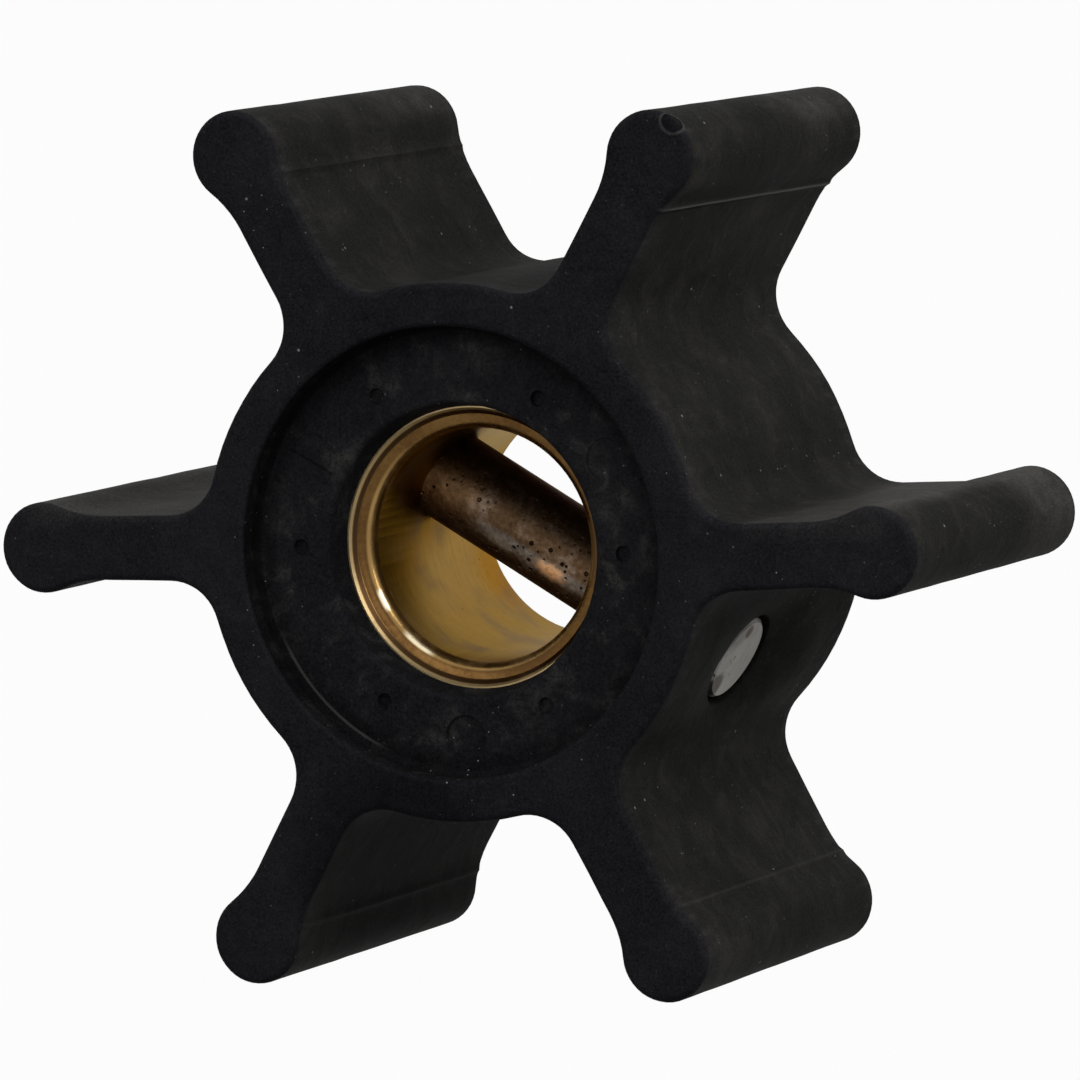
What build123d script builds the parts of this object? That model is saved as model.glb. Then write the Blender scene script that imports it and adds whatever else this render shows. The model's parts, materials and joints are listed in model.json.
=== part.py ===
from build123d import *
import math
import os

# Flexible-vane pump impeller: a moulded rubber body on a turned brass sleeve, driven by a cross pin.
# Millimetres. +Z is up and the shaft runs along Y. The front face looks towards -Y.
# The origin is on the shaft's axis, midway between the two faces.
# Angles are counted anticlockwise from +X, as seen from the front.

# ---- rubber body ----
TIP_DIAMETER = 51.0         # across opposite vane tips
BODY_WIDTH = 22.3           # along the shaft
HUB_DIAMETER = 27.5         # outside of the hub, between the vanes
VANE_COUNT = 6
VANE_ROOT = 3.46            # thickness of a vane where it leaves the hub
VANE_NECK = 3.32            # thickness of a vane at the middle of its tip bulb
BULB_DIAMETER = 4.75        # round bead along each vane tip
ROOT_FILLET = 2.7           # hub to vane
NECK_FILLET = 5.7           # vane to bulb
EDGE_ROUND = 0.4            # moulded edge round both faces
# Each vane has taken a set, so it leans about its root, in degrees, from the vane at +X onwards.
VANE_LEANS = (2.7, 0.0, -0.8, 0.9, 0.5, -1.4)

# ---- round recess in each face ----
RECESS_DIAMETER = 23.0
RECESS_DEPTH = 1.6
RECESS_CORNER = 0.4         # fillet at the foot of the recess wall
RECESS_LIP = 0.3            # rounded mouth
DIMPLE_COUNT = 6            # marks of the locating pins of the mould
DIMPLE_CIRCLE = 18.0
DIMPLE_DIAMETER = 0.8
DIMPLE_DEPTH = 0.3
GATE_COUNT = 3              # marks where the rubber was injected
GATE_CIRCLE = 19.0
GATE_FIRST_ANGLE = 30.0
GATE_DIAMETER = 2.2
GATE_DEPTH = 0.2

# ---- brass sleeve ----
BORE_DIAMETER = 12.0        # for a plain shaft with a slot across its end
SLEEVE_DIAMETER = 17.6
SLEEVE_SETBACK = 1.8        # from the recess floor down to the sleeve's end
WINDOW_DIAMETER = 14.4      # opening in the rubber, where it meets the sleeve's end
WINDOW_TAPER = 0.25         # how much wider that opening is all round at the recess floor
WINDOW_LIP = 0.35           # its rounded mouth
LEAD_IN_WIDTH = 0.8         # flat cone that opens the bore at each end
LEAD_IN_DEPTH = 0.42
END_BEVEL_WIDTH = 0.34      # steeper bevel from that cone out to the sleeve's end
END_BEVEL_DEPTH = 0.36
GROOVES_PER_SIDE = 2        # bonding grooves round the sleeve, each side of the pin
GROOVE_WIDTH = 1.2
GROOVE_DEPTH = 0.6
GROOVE_PITCH = 2.4
FIRST_GROOVE = 4.2          # from the middle of the sleeve to the nearest groove

# ---- drive pin ----
PIN_DIAMETER = 4.76
PIN_LENGTH = 25.4
PIN_CHAMFER = 0.2
PIN_ANGLE = -30.0           # midway between two vanes
POCKET_DIAMETER = 6.3       # opening in the hub over each end of the pin
POCKET_DEPTH = 1.6          # from the end of the pin inwards
POCKET_LIP = 0.3            # rounded mouth of that opening

# ---- derived sizes ----
TIP_RADIUS = TIP_DIAMETER / 2
HUB_RADIUS = HUB_DIAMETER / 2
BULB_RADIUS = BULB_DIAMETER / 2
BULB_CENTRE = TIP_RADIUS - BULB_RADIUS
HALF_WIDTH = BODY_WIDTH / 2
FLOOR = HALF_WIDTH - RECESS_DEPTH
SLEEVE_END = FLOOR - SLEEVE_SETBACK
BORE_RADIUS = BORE_DIAMETER / 2
SLEEVE_RADIUS = SLEEVE_DIAMETER / 2
HALF_PIN = PIN_LENGTH / 2
PITCH_ANGLE = 360.0 / VANE_COUNT


def turn(shape, angle):
    """Turn a shape about the shaft, anticlockwise as seen from the front."""
    return Rot(0, -angle, 0) * shape


# ---- rubber body ----
def vane_section(number):
    """One vane seen from the front: a tapered web that starts inside the hub, and its tip bulb."""
    reach = BULB_CENTRE - HUB_RADIUS
    sunk = HUB_RADIUS / 2
    taper = (VANE_ROOT - VANE_NECK) / 2 / reach
    half_start = VANE_ROOT / 2 + taper * sunk
    half_neck = VANE_NECK / 2
    corners = [
        (-sunk, -half_start),
        (reach, -half_neck),
        (reach, half_neck),
        (-sunk, half_start),
    ]
    web = Polygon(*corners, align=None)
    bulb = Pos(reach, 0) * Circle(BULB_RADIUS)
    lean = VANE_LEANS[number % len(VANE_LEANS)]
    leaned = Pos(HUB_RADIUS, 0) * Rot(0, 0, lean) * (web + bulb)
    return Rot(0, 0, number * PITCH_ANGLE) * leaned


def body_section():
    """The outline of the whole body seen from the front, with its fillets."""
    section = Sketch() + Circle(HUB_RADIUS)
    for number in range(VANE_COUNT):
        section += vane_section(number)
    halfway = (HUB_RADIUS + BULB_CENTRE) / 2
    roots = [v for v in section.vertices() if math.hypot(v.X, v.Y) < halfway]
    section = fillet(roots, ROOT_FILLET)
    necks = [v for v in section.vertices() if halfway < math.hypot(v.X, v.Y) < BULB_CENTRE]
    return fillet(necks, NECK_FILLET)


def face_cutter():
    """What is cut from the front face: the recess, and the window over the sleeve's end."""
    window = WINDOW_DIAMETER / 2
    mouth = window + WINDOW_TAPER
    wall = RECESS_DIAMETER / 2
    above = HALF_WIDTH + RECESS_DEPTH
    outline = Polyline(
        (0, -SLEEVE_END),
        (window, -SLEEVE_END),
        (mouth, -FLOOR),
        (wall, -FLOOR),
        (wall, -HALF_WIDTH),
        (wall + RECESS_DEPTH, -HALF_WIDTH),
        (wall + RECESS_DEPTH, -above),
        (0, -above),
        close=True,
    )
    section = make_face(outline)
    corners = [(mouth, -FLOOR), (wall, -FLOOR), (wall, -HALF_WIDTH)]
    for corner, radius in zip(corners, (WINDOW_LIP, RECESS_CORNER, RECESS_LIP)):
        section = fillet(section.vertices().sort_by_distance(corner)[0], radius)
    return revolve(section, Axis.Y)


def spot(circle, angle, diameter, depth):
    """A small round depression in the front recess floor."""
    disc = Cylinder(diameter / 2, 2 * depth, rotation=(90, 0, 0))
    return turn(Pos(circle / 2, -FLOOR, 0) * disc, angle)


def floor_marks():
    """The marks that the mould leaves in the front recess floor."""
    dimples = [
        spot(DIMPLE_CIRCLE, number * 360 / DIMPLE_COUNT, DIMPLE_DIAMETER, DIMPLE_DEPTH)
        for number in range(DIMPLE_COUNT)
    ]
    gates = [
        spot(GATE_CIRCLE, GATE_FIRST_ANGLE + number * 360 / GATE_COUNT, GATE_DIAMETER, GATE_DEPTH)
        for number in range(GATE_COUNT)
    ]
    return dimples + gates


def pin_pockets():
    """The opening over each end of the pin, from inside the pin's end to past the hub."""
    inner = HALF_PIN - POCKET_DEPTH
    outer = HUB_RADIUS + POCKET_DEPTH
    drum = Cylinder(POCKET_DIAMETER / 2, outer - inner, rotation=(0, 90, 0))
    middle = (inner + outer) / 2
    return [turn(Pos(side * middle, 0, 0) * drum, PIN_ANGLE) for side in (1, -1)]


def pocket_mouths(body):
    """The edge of each pin pocket on the outside of the hub."""
    points = [turn(Vertex(side * HUB_RADIUS, 0, POCKET_DIAMETER / 2), PIN_ANGLE) for side in (1, -1)]
    return [body.edges().sort_by_distance(point)[0] for point in points]


def rubber_impeller():
    """The moulded body. The sleeve, the bore and the pin are cut out of it."""
    body = extrude(Plane.XZ * body_section(), HALF_WIDTH, both=True)
    rims = body.faces().filter_by(Plane.XZ).edges()
    body = fillet(rims, EDGE_ROUND)
    body -= pin_pockets()
    body = fillet(pocket_mouths(body), POCKET_LIP)
    cutters = [face_cutter()] + floor_marks()
    body -= cutters
    body -= [mirror(cutter, Plane.XZ) for cutter in cutters]
    body -= Cylinder(SLEEVE_RADIUS - GROOVE_DEPTH, 2 * SLEEVE_END, rotation=(90, 0, 0))
    body -= solid_sleeve()
    body -= plain_pin()
    return body


# ---- brass sleeve ----
def groove_ring(distance):
    """The ring cut out of the sleeve's outside by one bonding groove."""
    outside = Cylinder(SLEEVE_RADIUS + GROOVE_DEPTH, GROOVE_WIDTH, rotation=(90, 0, 0))
    inside = Cylinder(SLEEVE_RADIUS - GROOVE_DEPTH, GROOVE_WIDTH, rotation=(90, 0, 0))
    return Pos(0, distance, 0) * (outside - inside)


def solid_sleeve():
    """The turned sleeve before its cross hole: opened out at both ends, with bonding grooves outside."""
    cone = SLEEVE_END - END_BEVEL_DEPTH
    straight = cone - LEAD_IN_DEPTH
    mouth = BORE_RADIUS + LEAD_IN_WIDTH
    rim = mouth + END_BEVEL_WIDTH
    rear_end = [(SLEEVE_RADIUS, SLEEVE_END), (rim, SLEEVE_END), (mouth, cone), (BORE_RADIUS, straight)]
    front_end = [(x, -y) for x, y in reversed(rear_end)]
    sleeve = revolve(make_face(Polyline(*front_end, *rear_end, close=True)), Axis.Y)
    for number in range(GROOVES_PER_SIDE):
        distance = FIRST_GROOVE + number * GROOVE_PITCH
        sleeve -= [groove_ring(distance), groove_ring(-distance)]
    return sleeve


def brass_insert():
    return solid_sleeve() - plain_pin()


# ---- drive pin ----
def plain_pin():
    """The pin without its end chamfers, as it is cut out of the sleeve and the hub."""
    return turn(Cylinder(PIN_DIAMETER / 2, PIN_LENGTH, rotation=(0, 90, 0)), PIN_ANGLE)


def drive_pin():
    pin = plain_pin()
    return chamfer(pin.edges().filter_by(GeomType.CIRCLE), PIN_CHAMFER)


PIECES = {
    "rubber_impeller": rubber_impeller,
    "brass_insert": brass_insert,
    "drive_pin": drive_pin,
}

os.makedirs("parts", exist_ok=True)
for name, make in PIECES.items():
    export_step(make(), "parts/" + name + ".step")
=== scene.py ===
"""Looks of a flexible-vane pump impeller: moulded rubber, a turned brass sleeve and its cross pin."""

import json
import math

import bmesh
import bpy
from bpy.props import FloatProperty, FloatVectorProperty, PointerProperty
from mathutils import Matrix, Vector

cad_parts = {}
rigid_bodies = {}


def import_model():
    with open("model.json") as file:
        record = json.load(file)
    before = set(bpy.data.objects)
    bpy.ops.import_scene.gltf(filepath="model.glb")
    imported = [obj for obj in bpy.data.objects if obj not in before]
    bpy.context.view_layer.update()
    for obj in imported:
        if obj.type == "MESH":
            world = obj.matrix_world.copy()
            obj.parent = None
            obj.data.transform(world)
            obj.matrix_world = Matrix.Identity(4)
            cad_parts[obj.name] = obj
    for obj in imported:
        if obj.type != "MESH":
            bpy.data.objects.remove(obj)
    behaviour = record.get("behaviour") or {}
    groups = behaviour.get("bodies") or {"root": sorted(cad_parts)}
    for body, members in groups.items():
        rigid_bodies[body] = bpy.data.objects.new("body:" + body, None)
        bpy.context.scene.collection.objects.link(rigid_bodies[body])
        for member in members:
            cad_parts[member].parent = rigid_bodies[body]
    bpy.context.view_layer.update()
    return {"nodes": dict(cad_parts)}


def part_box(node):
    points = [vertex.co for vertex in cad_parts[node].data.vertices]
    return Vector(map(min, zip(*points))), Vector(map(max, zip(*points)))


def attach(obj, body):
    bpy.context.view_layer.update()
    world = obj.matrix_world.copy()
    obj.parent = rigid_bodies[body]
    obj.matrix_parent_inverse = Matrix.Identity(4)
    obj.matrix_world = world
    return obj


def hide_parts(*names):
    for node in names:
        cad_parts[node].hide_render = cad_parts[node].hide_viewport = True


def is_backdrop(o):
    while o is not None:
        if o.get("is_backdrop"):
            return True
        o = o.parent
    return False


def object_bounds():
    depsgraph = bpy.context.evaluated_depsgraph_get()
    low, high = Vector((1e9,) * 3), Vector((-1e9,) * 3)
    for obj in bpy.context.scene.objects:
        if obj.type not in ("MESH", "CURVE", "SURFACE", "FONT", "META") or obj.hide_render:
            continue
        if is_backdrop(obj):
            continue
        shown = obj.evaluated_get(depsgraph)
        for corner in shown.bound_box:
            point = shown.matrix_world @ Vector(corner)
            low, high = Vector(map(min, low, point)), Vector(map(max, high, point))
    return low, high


bl_info = {
    "name": "Pump impeller",
    "version": (1, 0, 0),
    "blender": (4, 5, 0),
    "location": "View3D > Sidebar > Impeller",
    "description": "Dresses the pump impeller's solids with worn rubber, tarnished brass and a stained pin",
    "category": "Object",
}

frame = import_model()
MM = 0.001
FROM_FRONT = (1, 0, 1)      # stretch that measures distances as the front view shows them

# ---- places on the impeller, in millimetres and degrees, as the solids have them ----
HALF_WIDTH = 11.15          # middle to either face, along Y
FLOOR = 9.55                # middle to either recess floor
HUB_RADIUS = 13.75
VANE_PITCH = 60.0           # from one vane to the next
VANE_LEANS = (2.7, 0.0, -0.8, 0.9, 0.5, -1.4)
GATE_CIRCLE = 9.5           # from the shaft's axis to the round marks where the rubber was injected
GATE_REACH = 1.6            # from the middle of such a mark to beyond its edge
GATE_FOOT = 0.25            # from the recess floor to beyond such a mark's foot
BORE_RADIUS = 6.0
MOUTH_RADIUS = 6.8          # where the sleeve's cone meets its end bevel
CONE_START = 7.39           # that place, from the middle along Y
PIN_RADIUS = 2.38
PIN_ANGLE = -30.0           # anticlockwise from +X, seen from the front
PIN_OPENING = 3.45          # radius of the rounded opening in the hub over each end of the pin
HALF_PIN_SEAT = 11.1        # from the middle to the foot of that opening

# ---- forms that only the scene has, in millimetres and degrees ----
FLASH_LINES = (             # vane, side (1 is anticlockwise), how far along, how pale its crest is
    (1, -1, 7.35, 0.8),
    (5, 1, 7.5, 0.14),
    (4, 1, 7.5, 0.12),
    (2, -1, 7.4, 0.0),
)
CREST = "crest"             # attribute that keeps how pale the crest of such a line is
FILLED_GATES = (30, 150)    # angles of the injection marks that have almost gone
GATE_LEFT = 0.06            # what is left of their depth
CLOSED_OPENING = 2.70       # the opening's radius once the rubber has closed round the pin
CLOSED_GAP = 0.3            # what is then left of the gap inside it, as a share
DRAWN_RADIUS = 6.5          # the rubber is drawn in up to this far from the pin's axis
DISH_FLOOR = 2.2            # it is sunk fully up to this far from that axis
DISH_EDGE = 6.4             # and not at all beyond this
DISH_NARROWING = 1.5        # how much less the dish spreads round the hub than along it
MOUTH_TURNS = (0, 9, 18, 27, 36, 45, 54, 64, 76)    # degrees round the curve at each end of the bore

# ---- places of wear, stains, painted shade and painted light, in millimetres: X to the right, Y to the back, Z up ----
NICK = (12.95, -11.0, 21.9)         # middle of a nick in the front edge of one bulb
RIGHT_BULB = (23.1, 0, 0.44)        # whose back is paler: partly a film, partly painted light
BENEATH_HUB = (-3.5, 0, -16.5)      # painted shade between the two lower vanes
KNIT_ANGLE = 152                    # of the line where two flows of rubber met, anticlockwise from +X
HIGHLIGHT_ARC = (-7.9, -9.6, -7.9)     # a painted highlight at the foot of the front recess wall
SHADED_SIDE = (-6.6, -5.5, 2.0)      # these three are on the wall of the bore: painted shade, a stain and painted light
ORANGE_STAIN = (-5.2, 6.2, -3.0)
LIT_WALL = (-3.2, 3.4, 4.9)
LEFT_HIGHLIGHT = (-5.55, -7.1, -2.9)     # painted highlights in the sleeve's front mouth
LOWER_HIGHLIGHT = (-3.6, -7.1, -5.1)
END_NICK = (11.84, -0.3, -4.9)      # marks on the sawn end of the pin
END_CORNER = (10.15, -1.35, -7.6)
END_GRIME = (11.6, -1.4, -4.9)

# ---- camera ----
LENS_MM = 300.0
SENSOR_MM = 36.0
VIEW_PITCH = 0.1122         # radians, from the shaft's line of sight
VIEW_YAW = -0.4261
VIEW_ROLL = 0.0277
VIEW_OFFSET = (4.679, 0.712, 454.3)     # camera from the middle of the front face, in its own axes, mm


# ---- what a user would change ----
def colour(name, description, default):
    return FloatVectorProperty(name=name, description=description, default=default,
                               subtype="COLOR", size=3, min=0.0, max=1.0)


def length(name, description, millimetres):
    return FloatProperty(name=name, description=description, default=millimetres * MM,
                         unit="LENGTH", precision=5)


class RubberSettings(bpy.types.PropertyGroup):
    face: colour("Faces", "Rubber on the two end faces", (0.0084, 0.0084, 0.0100))
    flank: colour("Flanks", "Rubber round the vanes and the hub", (0.0092, 0.0090, 0.0085))
    floor: colour("Recess", "Rubber on the recess floors", (0.0082, 0.0082, 0.0094))
    # also used for painted light on top of the level vanes and at the back of two bulbs
    bloom_and_light: colour("Bloom", "Pale film that has come to the surface", (0.030, 0.029, 0.0265))
    crest: colour("Flash", "Rubbed crest of a parting line", (0.075, 0.074, 0.070))
    dust: colour("Dust", "Specks of dust", (0.15, 0.15, 0.155))
    spacing: length("Spacing", "Distance between the cuts that let the surface bend", 1.6)
    waviness: length("Waviness", "How far the moulded surface wanders", 0.06)
    dish: length("Dish", "How far the rubber is sunk round each end of the pin", 1.0)
    flash: length("Flash", "Height of the parting lines beside the bulbs", 0.13)
    twist: FloatVectorProperty(
        name="Twist", description="How far each vane is wrung from face to face, the one at +X first",
        default=[math.radians(a) for a in (0.36, 0.58, 1.0, 0.0, 0.0, 0.15)], size=6, unit="ROTATION")


class BrassSettings(bpy.types.PropertyGroup):
    clean: colour("Brass", "Brass where the shaft has kept it bright", (0.29, 0.180, 0.066))
    # also used for painted light on the far wall of the bore
    worn_and_lit: colour("Worn edge", "Brass rubbed pale at the sleeve's ends", (0.32, 0.235, 0.12))
    # the colour of two painted highlights in the front mouth
    bright: colour("Bright", "Freshly rubbed brass at the mouth", (0.88, 0.76, 0.52))
    tarnish: colour("Tarnish", "Brown tarnish", (0.135, 0.066, 0.020))
    stain: colour("Stain", "Orange stain at the back of the bore", (0.30, 0.13, 0.022))
    specks: colour("Specks", "Dark spots and creases", (0.030, 0.014, 0.007))
    sheen: colour("Sheen", "Tint of the shine at a grazing angle", (0.66, 0.56, 0.39))
    mouth: length("Mouth", "Radius of the curve at each end of the bore", 0.8)


class PinSettings(bpy.types.PropertyGroup):
    stain: colour("Stain", "Bronze-brown stain inside the bore", (0.074, 0.042, 0.021))
    brown: colour("Brown", "Lighter brown next to the bore's wall", (0.185, 0.105, 0.048))
    bare: colour("Bare", "Metal where the stain is rubbed off", (0.20, 0.185, 0.165))
    copper: colour("Copper", "Copper-coloured deposit", (0.72, 0.42, 0.22))
    pits: colour("Pits", "Bottom of the corrosion pits", (0.010, 0.007, 0.006))
    end: colour("Ends", "Sawn ends of the pin", (0.24, 0.24, 0.235))
    sheen: colour("Sheen", "Tint of the shine at a grazing angle", (0.5, 0.4, 0.3))


class StudioSettings(bpy.types.PropertyGroup):
    floor: colour("Floor", "Pale floor under the impeller", (0.12, 0.12, 0.12))
    reach: length("Reach", "Half the floor's side", 1500.0)
    shadow: FloatProperty(name="Shadow", description="How much of the shadow the floor shows",
                          default=0.03, subtype="FACTOR", min=0.0, max=1.0)
    sky: FloatProperty(name="Sky", description="Strength of the light from all round",
                       default=0.98, min=0.0)
    key: FloatProperty(name="Key lamp", description="Power of the lamp at the upper right",
                       default=1.05, unit="POWER")
    fill: FloatProperty(name="Fill lamp", description="Power of the lamp in front",
                        default=0.4, unit="POWER")


# ---- shader arithmetic ----
class Wire:
    """A number that runs through a material. Arithmetic on it adds Math nodes."""

    def __init__(self, recipe, socket):
        self.recipe = recipe
        self.socket = socket

    def __add__(self, other):
        return self.recipe.maths("ADD", self, other)

    def __sub__(self, other):
        return self.recipe.maths("SUBTRACT", self, other)

    def __rsub__(self, other):
        return self.recipe.maths("SUBTRACT", other, self)

    def __mul__(self, other):
        return self.recipe.maths("MULTIPLY", self, other)

    def __abs__(self):
        return self.recipe.maths("ABSOLUTE", self)

    __radd__ = __add__
    __rmul__ = __mul__


class Recipe:
    """A node material. Its coordinates are the object's own, in millimetres."""

    def __init__(self, name):
        self.material = bpy.data.materials.new(name)
        self.material.use_nodes = True
        self.tree = self.material.node_tree
        self.tree.nodes.clear()
        self.output = self.tree.nodes.new("ShaderNodeOutputMaterial")
        place = self.node("ShaderNodeTexCoord", output="Object")
        self.place = self.vector("SCALE", place, Scale=1 / MM)

    def node(self, kind, settings=None, output=None, **sockets):
        """Add a node, its settings before its sockets. Return the output asked for, or else the first."""
        made = self.tree.nodes.new(kind)
        for name, value in (settings or {}).items():
            setattr(made, name, value)
        for name, value in sockets.items():
            plain = name.replace("_", " ")
            socket = next(s for s in made.inputs if s.enabled and s.name == plain)
            self.plug(socket, value)
        if output:
            return next(s for s in made.outputs if s.enabled and s.name == output)
        return next(s for s in made.outputs if s.enabled)

    def plug(self, socket, value):
        if isinstance(value, Wire):
            value = value.socket
        if isinstance(value, bpy.types.NodeSocket):
            self.tree.links.new(value, socket)
        elif socket.type == "RGBA":
            socket.default_value = (*value, 1.0)
        else:
            socket.default_value = value

    def maths(self, operation, *values):
        made = self.tree.nodes.new("ShaderNodeMath")
        made.operation = operation
        for socket, value in zip(made.inputs, values):
            self.plug(socket, value)
        return Wire(self, made.outputs[0])

    def vector(self, operation, *values, **sockets):
        made = self.tree.nodes.new("ShaderNodeVectorMath")
        made.operation = operation
        for socket, value in zip(made.inputs, values):
            self.plug(socket, value)
        for name, value in sockets.items():
            self.plug(made.inputs[name], value)
        return next(s for s in made.outputs if s.enabled)

    def axis(self, name):
        return Wire(self, self.node("ShaderNodeSeparateXYZ", output=name, Vector=self.place))

    def step(self, value, low, high):
        """0 at low and 1 at high, smooth between them. High may be the smaller."""
        return Wire(self, self.node("ShaderNodeMapRange", {"interpolation_type": "SMOOTHSTEP"},
                                    Value=value, From_Min=low, From_Max=high))

    def distance(self, point, stretch=(1.0, 1.0, 1.0)):
        """How far a place is from a point, in millimetres, with its axes stretched."""
        shifted = self.vector("SUBTRACT", self.place, point)
        return Wire(self, self.vector("LENGTH", self.vector("MULTIPLY", shifted, stretch)))

    def toward(self, direction):
        """How far a place is from the middle in a direction of length 1, in millimetres."""
        return Wire(self, self.vector("DOT_PRODUCT", self.place, direction))

    def spot(self, point, edge, core, stretch=(1.0, 1.0, 1.0)):
        """1 nearer to a point than its core, 0 further than its edge, smooth between them."""
        return self.step(self.distance(point, stretch), edge, core)

    def noise(self, scale, detail, rough, stretch=(1.0, 1.0, 1.0), shift=0.0, warp=0.0):
        place = self.vector("MULTIPLY", self.place, stretch)
        place = self.vector("ADD", place, (shift, shift, shift))
        return Wire(self, self.node("ShaderNodeTexNoise", Vector=place, Scale=scale, Detail=detail,
                                    Roughness=rough, Distortion=warp))

    def specks(self, scale, size, share, shift=0.0):
        """Small round spots: one in some of the cells of a random net."""
        place = self.vector("ADD", self.place, (shift, shift, shift))
        made = self.node("ShaderNodeTexVoronoi", output="Distance", Vector=place, Scale=scale,
                         Randomness=1.0)
        picked = self.node("ShaderNodeSeparateColor", Color=made.node.outputs["Color"])
        chance = self.step(Wire(self, picked), 1 - share, 1 - share + 0.02)
        return self.step(Wire(self, made), size, size * 0.4) * chance

    def blend(self, factor, first, second):
        """The first colour where the factor is 0, the second where it is 1."""
        return self.node("ShaderNodeMix", {"data_type": "RGBA", "clamp_factor": True},
                         Factor=factor, A=first, B=second)

    def shade(self, tint, factor):
        """A colour made lighter or darker by a number."""
        return self.vector("SCALE", tint, Scale=factor)

    def bump(self, height, strength, depth, normal=None):
        """Relief from a height of 0 to 1, with its full depth in millimetres."""
        links = {"Height": height, "Strength": strength, "Distance": depth * MM}
        if normal:
            links["Normal"] = normal
        return self.node("ShaderNodeBump", **links)

    def finish(self, **sockets):
        """Add the surface, from what is even over it and what changes. Return the material."""
        surface = self.node("ShaderNodeBsdfPrincipled", **sockets)
        self.tree.links.new(surface, self.output.inputs["Surface"])
        return self.material


# ---- shared modelling ----
def deselect():
    for thing in bpy.context.view_layer.objects:
        thing.select_set(False)


def make_active(piece):
    deselect()
    piece.select_set(True)
    bpy.context.view_layer.objects.active = piece


def edit(piece):
    make_active(piece)
    bpy.ops.object.mode_set(mode="EDIT")


def leave():
    bpy.ops.object.mode_set(mode="OBJECT")


def cut(point, normal, wanted=None):
    """Cut the faces being edited along a plane. Wanted picks faces by their middle, in millimetres."""
    if wanted is None:
        bpy.ops.mesh.select_all(action="SELECT")
    else:
        bpy.ops.mesh.select_all(action="DESELECT")
        mesh = bmesh.from_edit_mesh(bpy.context.active_object.data)
        for face in mesh.faces:
            if wanted(face.calc_center_median() / MM):
                face.select_set(True)
        bmesh.update_edit_mesh(bpy.context.active_object.data)
    bpy.ops.mesh.bisect(plane_co=point, plane_no=normal, threshold=1e-7)


def turned(x, z, angle):
    """A point of the front view turned anticlockwise, in degrees."""
    c, s = math.cos(math.radians(angle)), math.sin(math.radians(angle))
    return x * c - z * s, x * s + z * c


def vane_frame(number, co):
    """How far a point is along a vane from its root, and to its anticlockwise side, in millimetres."""
    x, z = turned(co.x / MM, co.z / MM, -VANE_PITCH * number)
    return turned(x - HUB_RADIUS, z, -VANE_LEANS[number])


def vane_directions(number):
    """The directions along a vane and to its anticlockwise side."""
    x, z = turned(1, 0, VANE_PITCH * number + VANE_LEANS[number])
    return Vector((x, 0, z)), Vector((-z, 0, x))


def smooth(value, low, high):
    """0 at low and 1 at high, smooth between them."""
    t = min(max((value - low) / (high - low), 0.0), 1.0)
    return t * t * (3 - 2 * t)


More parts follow.
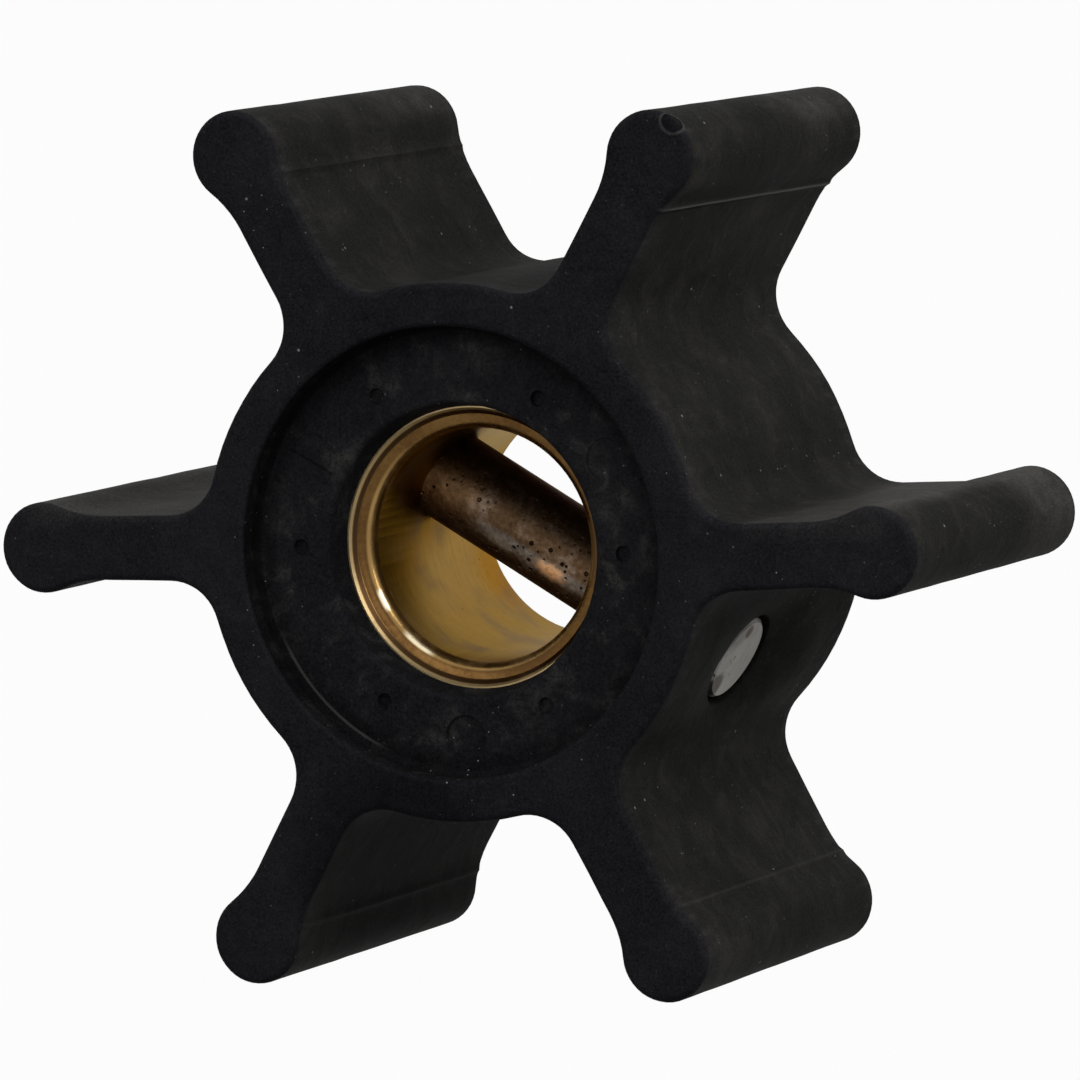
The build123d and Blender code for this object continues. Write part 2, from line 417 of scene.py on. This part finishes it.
# ---- rubber ----
def rubber_material(settings):
    m = Recipe("worn_rubber")
    x, y, z = m.axis("X"), m.axis("Y"), m.axis("Z")
    depth = abs(y)
    radius = m.distance((0, 0, 0), FROM_FRONT)
    face = m.step(depth, 10.5, 10.9)
    recess = m.step(radius, 11.75, 11.45) * m.step(depth, 11.1, 10.9)
    wall_shade = m.step(radius, 11.15, 11.35) * recess * m.step(x - z, 6, -4)
    grain = m.noise(7.0, 3, 0.75)
    mottle = m.noise(0.55, 5, 0.6, warp=0.6)
    cloud = m.noise(0.16, 3, 0.5, shift=31)
    streak = m.noise(1.6, 3, 0.6, stretch=(1, 0.12, 1), shift=7)
    tint = m.blend(face, settings.flank, settings.face)
    tint = m.blend(recess, tint, settings.floor)
    # pale film in clouds and streaks; thickest on top of the level vanes and at the back of two bulbs,
    # there partly painted light
    level_top = m.step(z, 0.7, 1.6) * m.step(z, 3.4, 2.8)
    level_top = level_top * m.step(abs(x), 14.5, 17.5) * m.step(abs(x), 24.5, 23.2)
    back_of_right = m.step(y, 2.5, 6.5) * m.spot(RIGHT_BULB, 3.3, 2.7, FROM_FRONT)
    back_of_upper = m.step(y, 0.5, 4.0) * m.step(z, 20.6, 21.7)
    film_and_light = m.step(mottle + 0.5 * cloud, 0.70, 1.05) * 0.22
    film_and_light = film_and_light + level_top * (0.35 + mottle) * 1.35
    film_and_light = film_and_light + (back_of_right + back_of_upper * 0.6) * (0.25 + mottle) * 0.8
    film_and_light = film_and_light + m.step(depth, 9.4, 10.3) * m.step(streak, 0.45, 0.75) * 0.35
    film_and_light = film_and_light + recess * m.step(mottle, 0.50, 0.78) * 0.5
    tint = m.blend(film_and_light * (1 - face * 0.85), tint, settings.bloom_and_light)
    # the fine line across the front recess where two flows of rubber met
    knit_x, knit_z = turned(0, 1, KNIT_ANGLE)
    knit = m.step(abs(m.toward((knit_x, 0, knit_z))), 0.09, 0.04)
    knit = knit * m.step(radius, 7.9, 8.2) * m.step(radius, 10.9, 10.6)
    knit = knit * m.step(x, 0, -1) * m.step(y, -9, -9.3)
    # painted shade: the recess wall at the upper left, its foot, round the pin's end, beneath the hub, in a
    # nick
    pin_x, pin_z = turned(HUB_RADIUS, 0, PIN_ANGLE)
    pin_end_shade = m.spot((pin_x, 0, pin_z), 4.6, 2.4, (0.6, 1, 1))
    foot_shade = m.step(radius, 10.0, 10.9) * recess * m.step(depth, 10.2, 9.9)
    under_hub_shade = m.spot(BENEATH_HUB, 7.0, 4.0, FROM_FRONT)
    nick_away = m.distance(NICK)
    nick = m.step(nick_away, 0.62, 0.45)
    shade = 1.05 + (grain - 0.5) * 2.8 + (streak - 0.5) * 0.3 + (cloud - 0.5) + (mottle - 0.5) * 0.6
    shade = shade * (1 - wall_shade * 0.6) * (1 - knit * 0.5) * (1 - pin_end_shade * 0.3) * (1 - nick * 0.35)
    shade = shade * (1 - foot_shade * 0.35) * (1 - under_hub_shade * 0.4)
    tint = m.shade(tint, shade)
    # rubbed pale round the nick and on the crests of the parting lines; a painted highlight on an arc in
    # the front recess
    nick_edge = m.step(abs(nick_away - 0.68), 0.10, 0.04)
    tint = m.blend(nick_edge * streak * 0.45, tint, settings.crest)
    arc = m.step(abs(radius - 11.15), 0.10, 0.03) * m.spot(HIGHLIGHT_ARC, 4.6, 2.6)
    tint = m.blend(arc * 0.35, tint, settings.crest)
    crest = Wire(m, m.node("ShaderNodeAttribute", {"attribute_name": CREST}, "Fac"))
    tint = m.blend(crest, tint, settings.crest)
    # dust: a few larger specks, and small ones that lie in drifts
    drifts = 0.25 + m.step(m.noise(0.22, 2, 0.5, shift=53), 0.50, 0.62)
    dust = m.maths("MAXIMUM", m.specks(0.75, 0.075, 0.14), m.specks(1.9, 0.12, 0.12, 13) * drifts)
    dust = m.maths("MAXIMUM", dust, 0.7 * m.specks(3.4, 0.17, 0.12, 29) * drifts)
    tint = m.blend(dust, tint, settings.dust)
    relief = m.bump(grain, 0.4, 0.06)
    relief = m.bump(mottle, 0.4, 0.25, relief)
    relief = m.bump(1 - nick, 0.9, 0.3, relief)
    return m.finish(Base_Color=tint, Roughness=0.62 + grain * 0.12, Specular_IOR_Level=0.015, Normal=relief)


def copy_node(node, name):
    """A loose copy of a solid, its corners merged, ready to be worked on."""
    source = frame["nodes"][node]
    mesh = source.data.copy()
    mesh.materials.clear()
    piece = bpy.data.objects.new(name, mesh)
    bpy.context.scene.collection.objects.link(piece)
    make_active(piece)
    if mesh.has_custom_normals:
        bpy.ops.mesh.customdata_custom_splitnormals_clear()
    edit(piece)
    bpy.ops.mesh.select_all(action="SELECT")
    bpy.ops.mesh.remove_doubles(threshold=1e-6)
    leave()
    return piece


def lattice(piece, spacing):
    """Cut a piece by even planes across all three axes, so that it can be bent and worn."""
    low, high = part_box("rubber_impeller")
    edit(piece)
    for axis in range(3):
        normal = Vector((0, 0, 0))
        normal[axis] = 1
        count = round((high[axis] - low[axis]) / spacing)
        for number in range(1, count):
            point = low.lerp(high, number / count)
            cut(point, normal)
    leave()


def wring_vanes(piece, twists):
    """Lean each vane one way at the front face and the other way at the rear one."""
    for vertex in piece.data.vertices:
        if math.hypot(vertex.co.x, vertex.co.z) < HUB_RADIUS * MM:
            continue
        angle = math.degrees(math.atan2(vertex.co.z, vertex.co.x))
        number = round(angle / VANE_PITCH) % len(VANE_LEANS)
        along = vane_frame(number, vertex.co)[0]
        if along <= 0:
            continue
        reach = along * smooth(along, 0, 3)
        shift = -twists[number] / 2 * reach * vertex.co.y / HALF_WIDTH
        vertex.co += vane_directions(number)[1] * shift


def sink_pin_mouths(piece, depth):
    """Close the rubber round each end of the pin, and sink it in a shallow dish."""
    low, high = HALF_PIN_SEAT, HUB_RADIUS
    spread = (DRAWN_RADIUS - CLOSED_OPENING) / (DRAWN_RADIUS - PIN_OPENING)
    for side in (1, -1):
        x, z = turned(side, 0, PIN_ANGLE)
        axis, across = Vector((x, 0, z)), Vector((-z, 0, x))
        for vertex in piece.data.vertices:
            height = vertex.co.dot(axis) / MM
            aside = vertex.co.dot(across) / MM
            along = vertex.co.y / MM
            away = math.hypot(aside, along)
            if height < low or away >= DRAWN_RADIUS:
                continue
            if away < PIN_OPENING:
                closer = PIN_RADIUS + (away - PIN_RADIUS) * CLOSED_GAP
            else:
                closer = CLOSED_OPENING + (away - PIN_OPENING) * spread
            share = closer / away
            reach = math.hypot(aside * share * DISH_NARROWING, along * share)
            sunk = depth * (1 - smooth(reach, DISH_FLOOR, DISH_EDGE))
            sunk *= min((height - low) / (high - low), 1.0)
            moved = axis * (height - sunk) + across * aside * share
            vertex.co = Vector((moved.x, along * share, moved.z)) * MM


def flash_line(piece, number, side, along, height, pale, width=0.28):
    """A thin raised line from face to face on one side of a vane, where the mould's parts met."""
    x, z = turned(HUB_RADIUS, 0, VANE_PITCH * number)
    start = Vector((x, 0, z)) * MM
    forward, aside = vane_directions(number)

    def near(middle):
        reach, out = vane_frame(number, middle * MM)
        return along - 2 < reach < along + 2 and out * side > 0.5 and abs(middle.y) < HALF_WIDTH + 1

    edit(piece)
    for offset in (-width, -width / 2, 0, width / 2, width):
        cut(start + forward * (along + offset) * MM, forward, near)
    leave()
    attributes = piece.data.attributes
    crests = attributes.get(CREST) or attributes.new(CREST, "FLOAT", "POINT")
    for vertex in piece.data.vertices:
        reach, out = vane_frame(number, vertex.co)
        away = abs(reach - along)
        clear_of_hub = math.hypot(vertex.co.x, vertex.co.z) > HUB_RADIUS * MM
        if away < width and out * side > 0.5 and clear_of_hub:
            crest = 1 - away / width
            fade = smooth(HALF_WIDTH - abs(vertex.co.y) / MM, 0.0, 0.6)
            vertex.co += aside * side * height * crest * fade
            crests.data[vertex.index].value = pale * smooth(crest, 0.4, 0.9) * fade


def fill_gate_marks(piece):
    """Fill two of the injection marks almost flush with each recess floor."""
    filled = FLOOR - GATE_LEFT
    for angle in FILLED_GATES:
        x, z = turned(GATE_CIRCLE, 0, angle)
        for vertex in piece.data.vertices:
            level = abs(vertex.co.y) / MM
            away = math.hypot(vertex.co.x / MM - x, vertex.co.z / MM - z)
            if away < GATE_REACH and FLOOR - GATE_FOOT < level < filled:
                vertex.co.y *= filled / level


def weather(piece, waviness):
    """Let the moulded surface wander a little, inwards only."""
    clouds = bpy.data.textures.new("moulded_waves", "CLOUDS")
    clouds.noise_scale = 2.6 * MM
    clouds.noise_depth = 2
    make_active(piece)
    waves = piece.modifiers.new("waves", "DISPLACE")
    waves.texture = clouds
    waves.texture_coords = "LOCAL"
    waves.strength = waviness
    waves.mid_level = 1.0
    bpy.ops.object.modifier_apply(modifier=waves.name)


def keep_inside(piece, node):
    """Bring back to a solid's box what the bending took past it."""
    low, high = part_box(node)
    for vertex in piece.data.vertices:
        for axis in range(3):
            vertex.co[axis] = min(max(vertex.co[axis], low[axis]), high[axis])


class IMPELLER_OT_rubber(bpy.types.Operator):
    """Make the moulded rubber body, with its flash lines, wear and wrung vanes"""
    bl_idname = "impeller.rubber_body"
    bl_label = "Rubber body"

    def execute(self, context):
        settings = context.scene.impeller_rubber
        piece = copy_node("rubber_impeller", "rubber_body")
        lattice(piece, settings.spacing)
        for number, side, along, pale in FLASH_LINES:
            flash_line(piece, number, side, along, settings.flash, pale)
        fill_gate_marks(piece)
        sink_pin_mouths(piece, settings.dish / MM)
        wring_vanes(piece, settings.twist)
        weather(piece, settings.waviness)
        keep_inside(piece, "rubber_impeller")
        make_active(piece)
        bpy.ops.object.shade_smooth_by_angle(angle=math.radians(35))
        piece.data.materials.append(rubber_material(settings))
        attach(piece, "root")
        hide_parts("rubber_impeller")
        return {"FINISHED"}


# ---- brass ----
def brass_material(settings):
    m = Recipe("tarnished_brass")
    x, y, z = m.axis("X"), m.axis("Y"), m.axis("Z")
    radius = m.distance((0, 0, 0), FROM_FRONT)
    turning = m.noise(5.0, 2, 0.5, stretch=(0.12, 1, 0.12))
    patch = m.noise(0.35, 3, 0.5, warp=0.3)
    fine = m.noise(3.0, 4, 0.7, shift=9)
    rim = m.step(radius, 7.0, 7.05)
    groove = m.step(radius, 6.80, 6.84) * m.step(radius, 7.03, 6.98)
    mouth = m.step(radius, 6.03, 6.3) * (1 - groove) * (1 - rim)
    inside = m.step(abs(y), 7.0, 6.4)
    tarnish = m.step(patch + 0.35 * fine, 0.62, 0.92)
    tint = m.blend(tarnish * 0.22, settings.clean, settings.tarnish)
    # the bore is brown where the pin comes through it, with painted shade beside the front mouth, and
    # orange at the back
    c, s = turned(1, 0, PIN_ANGLE)
    from_pin = m.vector("LENGTH", m.node("ShaderNodeCombineXYZ", X=m.toward((-s, 0, c)), Y=y))
    tint = m.blend(m.step(from_pin, 4.6, 2.2) * 0.75, tint, settings.tarnish)
    shady = m.spot(SHADED_SIDE, 5.4, 2.4, (1, 0.8, 0.7)) * inside
    tint = m.blend(shady * 0.85, tint, settings.tarnish)
    orange = m.step(m.distance(ORANGE_STAIN) + 1.5 * fine, 4.0, 1.4)
    tint = m.blend(orange * 0.7, tint, settings.stain)
    # painted light on the far wall of the bore, in the worn colour
    tint = m.blend(m.spot(LIT_WALL, 4.2, 2.0) * 0.8, tint, settings.worn_and_lit)
    tint = m.shade(tint, 1 + (fine - 0.5) * 0.5 + (turning - 0.5) * 0.35)
    # the mouths are brown, with a bare streak round the lower part and two painted highlights on the front
    # one
    streak = m.step(abs(radius - 6.27), 0.16, 0.04) * m.step(z + 0.3 * x, 5, 0)
    brown = 0.94 + 0.6 * (patch - 0.5) + 0.5 * (fine - 0.5) - 0.85 * streak
    tint = m.blend(mouth * brown, tint, m.shade(settings.tarnish, 0.62))
    rubbed = m.maths("MAXIMUM", m.spot(LEFT_HIGHLIGHT, 0.75, 0.3), m.spot(LOWER_HIGHLIGHT, 1.2, 0.5))
    tint = m.blend(rubbed * streak, tint, settings.bright)
    tint = m.blend(rim, tint, settings.worn_and_lit)
    tint = m.blend(groove * 0.92, tint, settings.specks)
    tint = m.blend(m.specks(1.6, 0.11, 0.10) * (1 - rim), tint, settings.specks)
    rough = 0.30 + tarnish * 0.12 + fine * 0.1 - mouth * 0.10
    relief = m.bump(turning, 0.15, 0.02)
    relief = m.bump(fine, 0.2, 0.03, relief)
    return m.finish(Base_Color=tint, Metallic=1.0 - 0.3 * tarnish, Roughness=rough,
                    Specular_Tint=settings.sheen, Normal=relief)


def round_mouths(piece, radius):
    """Turn the cone at each end of the bore into a smooth curve that runs into the bore."""
    foot = CONE_START - radius
    levels = [foot + radius * math.sin(math.radians(angle)) for angle in MOUTH_TURNS]

    def in_bore(middle):
        return middle.xz.length < MOUTH_RADIUS + 0.1

    edit(piece)
    for side in (1, -1):
        for level in levels:
            cut((0, side * level * MM, 0), (0, 1, 0), in_bore)
    leave()
    for vertex in piece.data.vertices:
        level = abs(vertex.co.y) / MM
        spot = vertex.co.xz / MM
        if foot <= level <= CONE_START + 0.01 and spot.length < MOUTH_RADIUS + 0.02:
            rise = min(level - foot, radius)
            wanted = BORE_RADIUS + radius - math.sqrt(radius ** 2 - rise ** 2)
            vertex.co.x *= wanted / spot.length
            vertex.co.z *= wanted / spot.length


class IMPELLER_OT_brass(bpy.types.Operator):
    """Make the turned sleeve, with its rounded mouths and tarnish"""
    bl_idname = "impeller.brass_sleeve"
    bl_label = "Brass sleeve"

    def execute(self, context):
        settings = context.scene.impeller_brass
        piece = copy_node("brass_insert", "brass_sleeve")
        round_mouths(piece, settings.mouth / MM)
        make_active(piece)
        bpy.ops.object.shade_smooth_by_angle(angle=math.radians(30))
        piece.data.materials.append(brass_material(settings))
        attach(piece, "root")
        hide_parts("brass_insert")
        return {"FINISHED"}


# ---- pin ----
def pin_material(settings):
    m = Recipe("stained_pin")
    c, s = turned(1, 0, PIN_ANGLE)
    along, up = m.toward((c, 0, s)), m.toward((-s, 0, c))
    end = m.step(abs(along), 12.45, 12.6)
    patch = m.noise(0.8, 5, 0.65, warp=0.5)
    fine = m.noise(4.0, 4, 0.7, shift=5)
    # the pits crowd in a band along the front, where the stain is rubbed off in a streak
    front = m.step(m.axis("Y"), 0.5, -0.6)
    band = m.step(up, 0.9, 0.0) * m.step(up, -2.0, -1.5) * front
    pits = m.maths("MAXIMUM", m.specks(1.5, 0.21, 0.6), m.specks(2.6, 0.24, 0.4, 17))
    pits = pits * (0.2 + 0.8 * band)
    streak = m.step(abs(up + 0.75 + 0.5 * (patch - 0.5)), 0.55, 0.15) * front
    rubbed = m.step(patch + 0.35 * fine, 0.62, 0.95) * 0.3 + streak * m.step(along, -3.4, -1.0) * 0.65
    tint = m.blend(rubbed, settings.stain, settings.bare)
    from_deposit = m.node("ShaderNodeCombineXYZ", X=(along - 2.3) * 0.55, Y=(up + 0.75) * 1.3)
    deposit = m.step(Wire(m, m.vector("LENGTH", from_deposit)) + 1.1 * fine, 1.25, 0.75) * front
    tint = m.blend(deposit, tint, settings.copper)
    tint = m.blend(m.step(along, -2.0, -5.5) * 0.7, tint, settings.brown)
    # painted shade: darker along the upper side and a little along the underside
    lit = 1.25 - m.step(up, -0.3, 1.5) - 0.45 * m.step(up, -1.3, -2.1)
    tint = m.shade(tint, lit * (1.0 + 2.2 * (fine - 0.5) + 1.6 * (patch - 0.5)))
    tint = m.blend(pits, tint, settings.pits)
    # an end: pale, with a nick, a dark corner and some grime
    dark = m.maths("MAXIMUM", m.spot(END_NICK, 0.5, 0.25), m.spot(END_CORNER, 1.0, 0.6))
    grime = m.spot(END_GRIME, 1.3, 0.5) * 0.45
    sawn = m.shade(settings.end, (0.6 + 0.8 * patch) * (1 - dark * 0.92) * (1 - grime))
    tint = m.blend(end, tint, sawn)
    relief = m.bump(fine, 0.35, 0.06)
    relief = m.bump(1 - pits, 0.9, 0.15, relief)
    return m.finish(Base_Color=tint, Metallic=0.85 - 0.45 * end, Roughness=0.36 + 0.2 * fine,
                    Specular_Tint=settings.sheen, Normal=relief)


class IMPELLER_OT_pin(bpy.types.Operator):
    """Dress the cross pin with its pits, stains and sawn ends"""
    bl_idname = "impeller.drive_pin"
    bl_label = "Drive pin"

    def execute(self, context):
        settings = context.scene.impeller_pin
        pin = frame["nodes"]["drive_pin"]
        pin.data.materials.clear()
        pin.data.materials.append(pin_material(settings))
        return {"FINISHED"}


# ---- studio ----
def floor_material(settings):
    """White to the camera and in reflections, apart from a share of the shadow, and pale to other light."""
    m = Recipe("studio_floor")
    seen = m.node("ShaderNodeLightPath", output="Is Camera Ray")
    mirrored = m.node("ShaderNodeLightPath", output="Is Glossy Ray")
    through = m.node("ShaderNodeLightPath", output="Is Transmission Ray")
    watched = m.maths("MAXIMUM", m.maths("MAXIMUM", seen, mirrored), through)
    white = m.node("ShaderNodeEmission", Color=(1.0, 1.0, 1.0), Strength=1.0)
    pale = m.node("ShaderNodeBsdfDiffuse", Color=settings.floor)
    mixed = m.tree.nodes.new("ShaderNodeMixShader")
    m.plug(mixed.inputs[0], watched * (1 - settings.shadow))
    m.plug(mixed.inputs[1], pale)
    m.plug(mixed.inputs[2], white)
    m.tree.links.new(mixed.outputs[0], m.output.inputs["Surface"])
    return m.material


def studio_world(settings):
    """White all round, seen by the camera and in reflections, with a dimmer light on the surfaces."""
    world = bpy.data.worlds.new("studio")
    world.use_nodes = True
    tree = world.node_tree
    path = tree.nodes.new("ShaderNodeLightPath")
    level = tree.nodes.new("ShaderNodeMapRange")
    watched = path.outputs["Is Camera Ray"]
    for kind in ("Is Glossy Ray", "Is Transmission Ray"):
        either = tree.nodes.new("ShaderNodeMath")
        either.operation = "MAXIMUM"
        tree.links.new(watched, either.inputs[0])
        tree.links.new(path.outputs[kind], either.inputs[1])
        watched = either.outputs[0]
    tree.links.new(watched, level.inputs["Value"])
    level.inputs["To Min"].default_value = settings.sky
    level.inputs["To Max"].default_value = 1.0
    tree.links.new(level.outputs[0], tree.nodes["Background"].inputs["Strength"])
    tree.nodes["Background"].inputs["Color"].default_value = (1, 1, 1, 1)
    return world


def add_lamp(name, place, size, power):
    """A square lamp that points at the impeller. Its place and size are in millimetres."""
    data = bpy.data.lights.new(name, "AREA")
    data.size = size * MM
    data.energy = power
    lamp = bpy.data.objects.new(name, data)
    lamp.location = Vector(place) * MM
    lamp.rotation_euler = (-lamp.location).to_track_quat("-Z", "Y").to_euler()
    bpy.context.scene.collection.objects.link(lamp)


def add_camera():
    """The camera of the main view. Its axes are turned from the front face's by pitch, yaw and roll."""
    turns = Matrix.Rotation(-VIEW_ROLL, 3, "Z") @ Matrix.Rotation(-VIEW_YAW, 3, "Y")
    turns = turns @ Matrix.Rotation(-VIEW_PITCH, 3, "X")
    axes = Matrix.Rotation(math.radians(90), 3, "X") @ turns
    place = axes @ Vector(VIEW_OFFSET) + Vector((0, -HALF_WIDTH, 0))
    data = bpy.data.cameras.new("camera")
    data.lens = LENS_MM
    data.sensor_width = SENSOR_MM
    data.clip_start = 0.01
    data.clip_end = 20
    camera = bpy.data.objects.new("camera", data)
    bpy.context.scene.collection.objects.link(camera)
    camera.matrix_world = Matrix.Translation(place * MM) @ axes.to_4x4()
    bpy.context.scene.camera = camera


class IMPELLER_OT_studio(bpy.types.Operator):
    """Set the pale floor, the light and the camera"""
    bl_idname = "impeller.studio"
    bl_label = "Studio"

    def execute(self, context):
        settings = context.scene.impeller_studio
        deselect()
        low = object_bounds()[0][2]
        bpy.ops.mesh.primitive_plane_add(size=2 * settings.reach, location=(0, 0, low))
        floor = context.active_object
        floor.name = "studio_floor"
        bpy.ops.object.transform_apply(location=True, rotation=False, scale=False)
        floor.data.materials.append(floor_material(settings))
        floor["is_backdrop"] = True
        context.scene.world = studio_world(settings)
        context.scene.view_settings.view_transform = "Standard"
        add_lamp("key", place=(340, -80, 220), size=260, power=settings.key)
        add_lamp("fill", place=(-60, -420, 160), size=300, power=settings.fill)
        add_camera()
        return {"FINISHED"}


class IMPELLER_PT_panel(bpy.types.Panel):
    bl_label = "Pump impeller"
    bl_idname = "IMPELLER_PT_panel"
    bl_space_type = "VIEW_3D"
    bl_region_type = "UI"
    bl_category = "Impeller"

    def draw(self, context):
        for operator in OPERATORS:
            self.layout.operator(operator.bl_idname)


GROUPS = {
    "impeller_rubber": RubberSettings,
    "impeller_brass": BrassSettings,
    "impeller_pin": PinSettings,
    "impeller_studio": StudioSettings,
}
OPERATORS = (IMPELLER_OT_rubber, IMPELLER_OT_brass, IMPELLER_OT_pin, IMPELLER_OT_studio)


def register():
    for name, group in GROUPS.items():
        bpy.utils.register_class(group)
        setattr(bpy.types.Scene, name, PointerProperty(type=group))
    for operator in OPERATORS:
        bpy.utils.register_class(operator)
    bpy.utils.register_class(IMPELLER_PT_panel)


def unregister():
    bpy.utils.unregister_class(IMPELLER_PT_panel)
    for operator in reversed(OPERATORS):
        bpy.utils.unregister_class(operator)
    for name, group in GROUPS.items():
        delattr(bpy.types.Scene, name)
        bpy.utils.unregister_class(group)


def main():
    register()
    bpy.ops.impeller.rubber_body()
    bpy.ops.impeller.brass_sleeve()
    bpy.ops.impeller.drive_pin()
    bpy.ops.impeller.studio()


if __name__ == "__main__":
    main()
